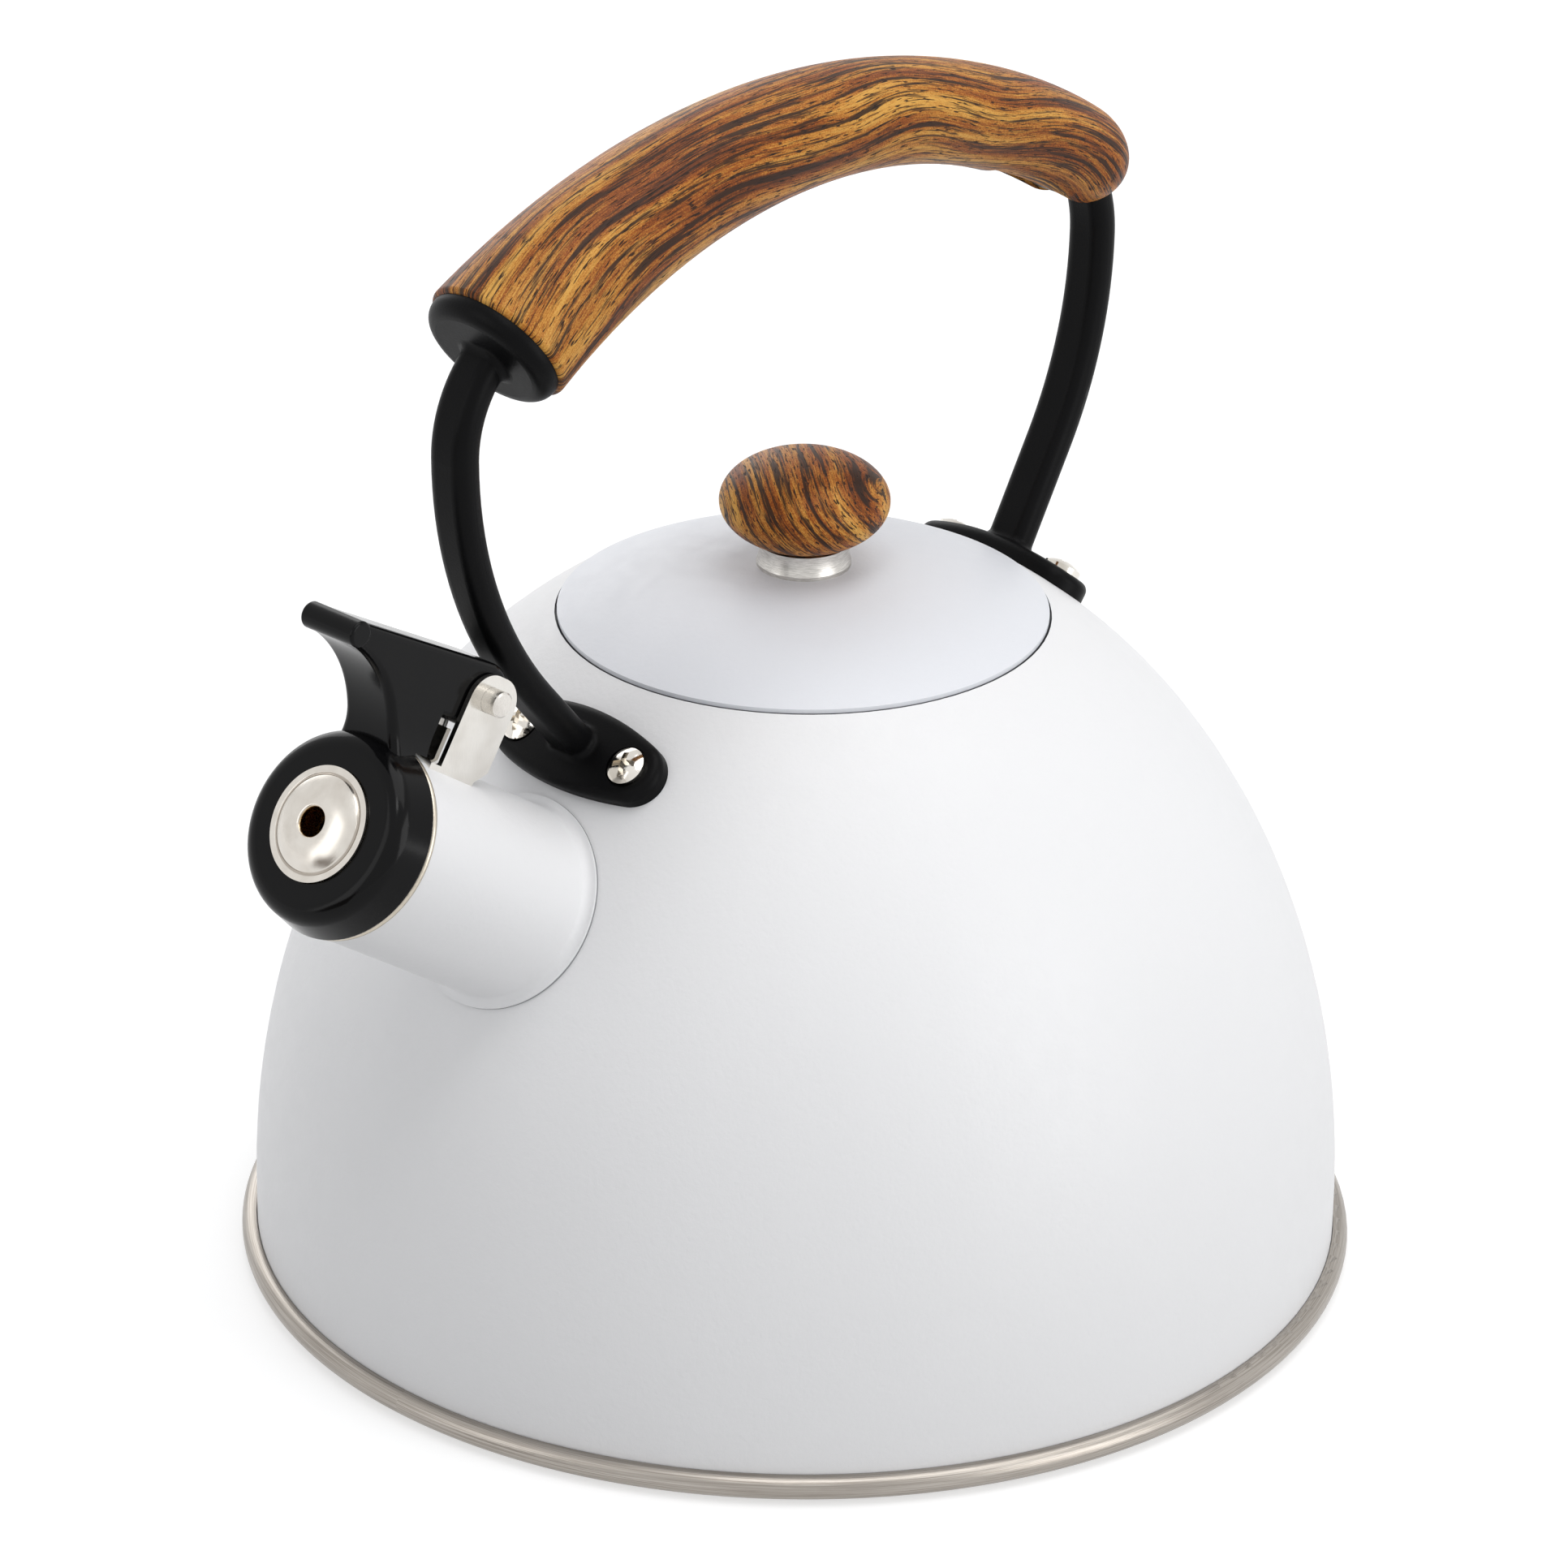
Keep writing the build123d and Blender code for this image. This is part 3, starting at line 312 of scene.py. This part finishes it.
def scratched(name, dark, light, rough_low=0.1, rough_high=0.22):
    paint = Paint(name)
    tilted = paint.vector("MULTIPLY", paint.place, SCRATCH_STRETCH)
    scratch = paint.noise(tilted, scale=5200, detail=4, roughness=0.7)
    smear = paint.noise(paint.place, scale=150, detail=2)
    shade = paint.mix(paint.step(smear, low=0.35, high=0.8), colour(*light), colour(*dark))
    rough = paint.step(scratch, low=0.35, high=0.75, start=rough_low, end=rough_high)
    relief = paint.bump(scratch, depth=0.00001)
    return paint.surface(Base_Color=shade, Metallic=1.0, Roughness=rough, Normal=relief)


# Whistle disc: polished on the lathe, a groove inside its rim darkened with painted shade, tarnished
# brass-brown in the hole

def turned_disc(name):
    paint = Paint(name)
    _, radius, angle = around_spout(paint)
    rings = paint.joined(radius, paint.calc("MULTIPLY", angle, RING_STRETCH), 0.0)
    line = paint.noise(rings, scale=9000, detail=2, roughness=0.6)
    smear = paint.noise(paint.place, scale=300)
    shade = paint.mix(smear, colour(224, 220, 213), colour(198, 191, 182))
    off_groove = paint.calc("ABSOLUTE", paint.calc("SUBTRACT", radius, DISC_GROOVE))
    groove = paint.step(off_groove, *GROOVE_EDGES, start=1, end=0)
    # Painted shade in the groove
    groove_shade = paint.calc("MULTIPLY", groove, 0.6)
    shade = paint.mix(groove_shade, shade, colour(132, 120, 106))
    hole = paint.step(radius, DISC_HOLE, DISC_HOLE + HOLE_EDGE, start=1, end=0)
    shade = paint.mix(hole, shade, colour(152, 122, 72))
    rough = paint.raised(line, gain=0.12, base=0.16)
    height = paint.raised(line, gain=0.1, base=paint.calc("MULTIPLY", groove, -1))
    relief = paint.bump(height, depth=0.0001)
    return paint.surface(Base_Color=shade, Metallic=1.0, Roughness=rough, Normal=relief)


# Black mouldings, finely grained and rubbed a little paler in places

def moulding(name, base, rough, gloss, grain, depth):
    paint = Paint(name)
    fine = paint.noise(paint.place, scale=grain, roughness=0.6)
    cloud = paint.noise(paint.place, scale=90)
    wear = paint.noise(paint.place, scale=700, detail=5, roughness=0.7)
    shade = paint.mix(cloud, colour(*base), colour(*base, shift=5))
    rubbed = paint.step(wear, low=0.66, high=0.8, end=0.4)
    shade = paint.mix(rubbed, shade, colour(*base, shift=14))
    spread = paint.off_middle(fine, gain=0.1, base=paint.off_middle(cloud, gain=0.12, base=rough))
    relief = paint.bump(fine, depth)
    return paint.surface(Base_Color=shade, Roughness=spread, Specular_IOR_Level=gloss, Normal=relief)


# Wood-look print: golden and orange-brown areas, dark streaks in slow bends, short pores along the grain

def wood(name, grain_place):
    paint = Paint(name)
    along, across = grain_place(paint)

    def cells(length, width, layer):
        """Place in a pattern whose cells are this long and wide, in metres, different in each layer."""
        return paint.joined(paint.calc("DIVIDE", along, length), paint.calc("DIVIDE", across, width), layer)

    bend = paint.noise(cells(length=0.034, width=0.05, layer=0), scale=1, detail=0)
    across = paint.off_middle(bend, gain=0.012, base=across)
    area = paint.noise(cells(length=0.055, width=0.0042, layer=3), scale=1, detail=2)
    streak = paint.noise(cells(length=0.03, width=0.0012, layer=17), scale=1, roughness=0.6)
    thin = paint.noise(cells(length=0.009, width=0.0005, layer=31), scale=1, detail=2)
    fibre = paint.noise(cells(length=0.008, width=0.0003, layer=47), scale=1, roughness=0.6)
    pores = paint.noise(cells(length=0.0027, width=0.00036, layer=61), scale=1, detail=1)
    dots = paint.noise(paint.place, scale=3600, detail=2, roughness=0.6)

    tone = paint.off_middle(dots, gain=0.45, base=paint.off_middle(fibre, gain=0.55, base=area))
    shade = paint.ramp(
        tone,
        (0.29, colour(98, 48, 17)),
        (0.43, colour(146, 78, 27)),
        (0.56, colour(187, 126, 52)),
        (0.7, colour(212, 160, 78)),
    )
    ragged = paint.off_middle(area, gain=-0.3, base=paint.off_middle(fibre, gain=0.34, base=streak))
    dark = paint.step(ragged, low=0.51, high=0.61, end=0.95)
    shade = paint.mix(dark, shade, colour(40, 24, 15))
    frayed = paint.off_middle(fibre, gain=0.2, base=thin)
    line = paint.step(frayed, low=0.56, high=0.66, end=0.85)
    shade = paint.mix(line, shade, colour(62, 34, 16))
    pore = paint.step(pores, low=0.585, high=0.66, end=0.94)
    shade = paint.mix(pore, shade, colour(34, 20, 13))
    rough = paint.raised(pore, gain=0.14, base=0.44)
    height = paint.calc("SUBTRACT", paint.calc("MULTIPLY", dots, 0.25), pore)
    relief = paint.bump(height, depth=0.00004)
    return paint.surface(Base_Color=shade, Roughness=rough, Specular_IOR_Level=0.18, Normal=relief)


def grip_grain(paint):
    """Along the grip's arc and round its section."""
    x, y, z = paint.parts(paint.vector("SUBTRACT", paint.place, GRIP_CENTRE))
    swing = paint.calc("ARCTAN2", x, z)
    turn = paint.calc("ARCTAN2", y, paint.calc("SUBTRACT", paint.length(x, z), GRIP_ARC))
    return paint.calc("MULTIPLY", swing, GRIP_ARC), paint.calc("MULTIPLY", turn, GRIP_GIRTH)


def knob_grain(paint):
    """Round the knob in planes square to a leaning axis, and along that axis."""
    reach = paint.vector("SUBTRACT", paint.place, KNOB_CENTRE)
    round_reach = paint.vector("MULTIPLY", reach, (1, 1, KNOB_FLATNESS))
    across = Vector(KNOB_ACROSS).normalized()
    forward = across.cross((0, 0, 1)).normalized()
    ahead = paint.vector("DOT_PRODUCT", round_reach, forward)
    upward = paint.vector("DOT_PRODUCT", round_reach, forward.cross(across))
    turn = paint.calc("ARCTAN2", upward, ahead)
    return paint.calc("MULTIPLY", turn, KNOB_RADIUS), paint.vector("DOT_PRODUCT", round_reach, across)


# Materials by node, or by a name that several nodes share

materials = {
    "body_shell": coat("body_coat", COAT_WHITE, body_inside, mouth_gap_shade),
    "lid_shell": coat("lid_coat", LID_WHITE, None, lid_rim_shade),
    "spout_tube": coat("spout_coat", COAT_WHITE, spout_bare, spout_root_shade, SPOUT_STEEL),
    "base_pan": brushed("bead_steel", (136, 129, 121), (180, 174, 167)),
    "base_cap": brushed("cover_steel", (138, 135, 130), (182, 180, 176)),
    "knob_collar": brushed("collar_steel", (176, 173, 168), (222, 219, 214)),
    "lid_skirt": brushed("skirt_steel", (160, 157, 152), (208, 205, 200)),
    "heat_disc": scratched("core_aluminium", (160, 160, 163), (190, 190, 193), 0.4, 0.55),
    "hinge_bracket": scratched("bracket_nickel", (212, 208, 201), (226, 223, 217)),
    "hinge_pin": scratched("pin_nickel", (196, 191, 184), (222, 218, 212), 0.2, 0.4),
    "screws": scratched("screw_nickel", (190, 183, 172), (228, 224, 217), 0.06, 0.16),
    "steel": scratched("plain_steel", (128, 127, 127), (160, 159, 158), 0.28, 0.45),
    "brass": scratched("plain_brass", (150, 112, 54), (196, 156, 86), 0.22, 0.4),
    "whistle_disc": turned_disc("disc_nickel"),
    "arms": moulding("black_nylon", (9, 9, 10), rough=0.38, gloss=0.07, grain=2600, depth=0.00003),
    "whistle_lever": moulding("black_gloss", (8, 8, 9), rough=0.15, gloss=0.13, grain=1500, depth=0.000006),
    "grip": wood("grip_wood", grip_grain),
    "lid_knob": wood("knob_wood", knob_grain),
}

shared = {
    "screws": ("front_foot_screws", "rear_foot_screws"),
    "steel": (
        "return_spring", "front_weld_strip", "rear_weld_strip", "knob_screw", "knob_washer", "grip_screw"
    ),
    "brass": ("whistle_plate", "knob_insert"),
    "arms": ("front_arm", "rear_arm"),
}

for name, material in materials.items():
    for node in shared.get(name, (name,)):
        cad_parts[node].material_slots[0].material = material


def rectangle(first, second):
    """Corners in order, from two ranges."""
    return [(first[0], second[0]), (first[1], second[0]), (first[1], second[1]), (first[0], second[1])]


def stage_sheet(name, corners, material):
    mesh = bpy.data.meshes.new(name)
    mesh.from_pydata(corners, [], [(0, 1, 2, 3)])
    mesh.materials.append(material)
    sheet = bpy.data.objects.new(name, mesh)
    bpy.context.scene.collection.objects.link(sheet)
    return sheet


# Floor: white to the camera, keeps a soft shadow

floor_paint = Paint("floor_white")
matt = floor_paint.node("ShaderNodeBsdfDiffuse", Color=FLOOR_GREY)
away = floor_paint.vector("LENGTH", floor_paint.place)
lift = floor_paint.step(away, *FLOOR_FADE, *FLOOR_GLOW)
glow_seen = floor_paint.calc("MULTIPLY", floor_paint.seen(), lift)
glow = floor_paint.node("ShaderNodeEmission", Strength=glow_seen)
both = floor_paint.node("ShaderNodeAddShader")
floor_paint.put(both.inputs[0], matt.outputs[0])
floor_paint.put(both.inputs[1], glow.outputs[0])
floor_corners = [(x, y, -FLOOR_DROP) for x, y in rectangle(FLOOR_SPAN, FLOOR_SPAN)]
stage_sheet("floor", floor_corners, floor_paint.output(both))

# Flag: a dark card on the left, which only shows in reflections

flag_paint = Paint("flag_brown")
flag_glow = flag_paint.node("ShaderNodeEmission", Color=colour(*FLAG_BROWN), Strength=1.0)
flag_corners = [(FLAG_PLACE, y, z) for y, z in rectangle(FLAG_WIDTH, FLAG_HEIGHT)]
flag = stage_sheet("flag", flag_corners, flag_paint.output(flag_glow))
flag.visible_camera = False
flag.visible_diffuse = False
flag.visible_shadow = False

# World: white to the camera and in reflections, soft grey-white as a light

studio = Paint("studio", bpy.data.worlds)
background = studio.node("ShaderNodeBackground", Color=studio.mix(studio.seen(), WORLD_LIGHT, WHITE))
bpy.context.scene.world = studio.output(background, "ShaderNodeOutputWorld")


# Lamps: large soft ones round the kettle, and a small one that edges the black mouldings

def softbox(name, place, aim, size, power):
    lamp = bpy.data.lights.new(name, "AREA")
    lamp.shape = "RECTANGLE"
    lamp.size, lamp.size_y = size
    lamp.energy = power
    lamp_object = bpy.data.objects.new(name, lamp)
    lamp_object.location = place
    lamp_object.rotation_euler = (Vector(aim) - Vector(place)).to_track_quat("-Z", "Y").to_euler()
    bpy.context.scene.collection.objects.link(lamp_object)


softbox("top_light", (0.22, -0.24, 1.5), aim=(0, 0, 0.1), size=(1.2, 1.2), power=8.9)
softbox("right_light", (0.25, -1.36, 0.5), aim=(0, 0, 0.1), size=(0.8, 1.0), power=6.7)
softbox("left_light", (-1.3, 0.35, 0.6), aim=(0, 0, 0.12), size=(0.6, 1.1), power=2.5)
softbox("back_light", (0.6, 1.35, 0.7), aim=(0, 0, 0.1), size=(1.0, 1.0), power=4.5)
softbox("edge_light", (-0.55, -0.45, 1.45), aim=(-0.1, 0, 0.13), size=(0.25, 0.25), power=1.2)

# Camera

camera = bpy.data.cameras.new("camera")
camera.lens = CAMERA_LENS
camera.sensor_width = SENSOR_WIDTH
camera_object = bpy.data.objects.new("camera", camera)
aim = (Vector(CAMERA_AIM) - Vector(CAMERA_PLACE)).to_track_quat("-Z", "Y").to_matrix().to_4x4()
roll = Matrix.Rotation(math.radians(CAMERA_ROLL), 4, "Z")
camera_object.matrix_world = Matrix.Translation(CAMERA_PLACE) @ aim @ roll
bpy.context.scene.collection.objects.link(camera_object)
bpy.context.scene.camera = camera_object
bpy.context.scene.view_settings.view_transform = "Standard"
